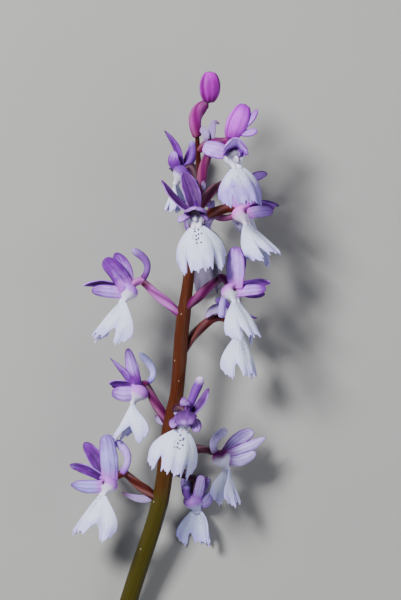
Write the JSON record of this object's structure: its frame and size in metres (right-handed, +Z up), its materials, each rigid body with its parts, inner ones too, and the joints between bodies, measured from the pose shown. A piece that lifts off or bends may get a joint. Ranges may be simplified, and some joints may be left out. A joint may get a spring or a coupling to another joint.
{
  "type": "orchid flower spike",
  "caption": "Cut spike of a wild orchid, lying on its back: a slender stem with spurred lilac flowers, white lobed lips and pink buds at its tip.",
  "frame": {"origin": "on the surface the spike lies on, under the middle of its bounding box", "axes": "+Y along the stem from its cut end to the topmost bud, +Z up from the surface towards the flowers in front"},
  "size_m": [0.0534, 0.1565, 0.0366],
  "materials": {
    "stem": "waxy, brown red above and olive below",
    "stalk": "waxy, magenta to orange brown",
    "petals": "soft, pale lilac to violet",
    "lip": "soft white with purple dots",
    "bud": "soft, vivid magenta to pale pink"
  },
  "bodies": {
    "root": {"stem": "stem", "flower_01_petals": "petals", "flower_01_lip": "lip", "flower_01_stalk": "stalk", "flower_02_petals": "petals", "flower_02_lip": "lip", "flower_02_stalk": "stalk", "flower_03_petals": "petals", "flower_03_lip": "lip", "flower_03_stalk": "stalk", "flower_04_petals": "petals", "flower_04_lip": "lip", "flower_04_stalk": "stalk", "flower_05_petals": "petals", "flower_05_lip": "lip", "flower_05_stalk": "stalk", "flower_06_petals": "petals", "flower_06_lip": "lip", "flower_06_stalk": "stalk", "flower_07_petals": "petals", "flower_07_lip": "lip", "flower_07_stalk": "stalk", "flower_08_petals": "petals", "flower_08_lip": "lip", "flower_08_stalk": "stalk", "flower_09_petals": "petals", "flower_09_lip": "lip", "flower_09_stalk": "stalk", "flower_10_petals": "petals", "flower_10_lip": "lip", "flower_10_stalk": "stalk", "flower_11_petals": "petals", "flower_11_lip": "lip", "flower_11_stalk": "stalk", "flower_12_petals": "petals", "flower_12_lip": "lip", "flower_12_stalk": "stalk", "flower_13_petals": "petals", "flower_13_lip": "lip", "flower_13_stalk": "stalk", "flower_14_petals": "petals", "flower_14_lip": "lip", "flower_14_stalk": "stalk", "bud_01": "bud", "bud_01_stalk": "stalk", "bud_02": "bud", "bud_02_stalk": "stalk"}
  },
  "joints": []
}
